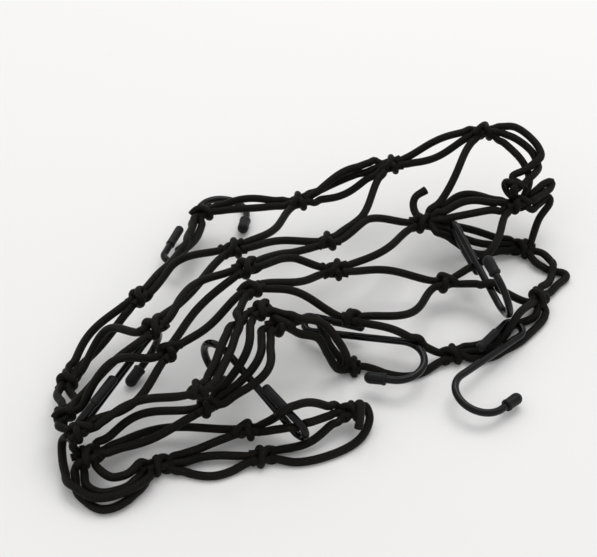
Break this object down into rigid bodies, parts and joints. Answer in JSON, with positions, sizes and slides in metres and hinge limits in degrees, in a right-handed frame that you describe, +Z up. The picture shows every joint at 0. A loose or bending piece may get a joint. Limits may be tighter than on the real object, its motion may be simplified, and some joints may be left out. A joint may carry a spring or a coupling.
{
  "type": "cargo net",
  "caption": "Knotted elastic cargo net lying in a loose springy heap, with coated wire hooks on its cords.",
  "frame": {"origin": "centre of the heap's bounding box in plan, on the surface it lies on", "axes": "+Z up from the surface, +X along the heap's longest side, +Y away from the open side where the last two hooks lie"},
  "size_m": [0.2755, 0.2452, 0.056],
  "materials": {
    "cord": "matte braided cover",
    "coating": "glossy",
    "rubber": "satin"
  },
  "bodies": {
    "root": {"net": "cord", "hook_1": "coating", "hook_2": "coating", "hook_3": "coating", "hook_4": "coating", "hook_5": "coating", "hook_6": "coating", "tip_cap_1": "rubber", "tip_cap_2": "rubber", "tip_cap_3": "rubber", "tip_cap_4": "rubber", "tip_cap_5": "rubber", "tip_cap_6": "rubber", "sleeve_1": "rubber", "sleeve_2": "rubber", "sleeve_3": "rubber", "sleeve_4": "rubber", "sleeve_5": "rubber", "sleeve_6": "rubber"}
  },
  "joints": []
}
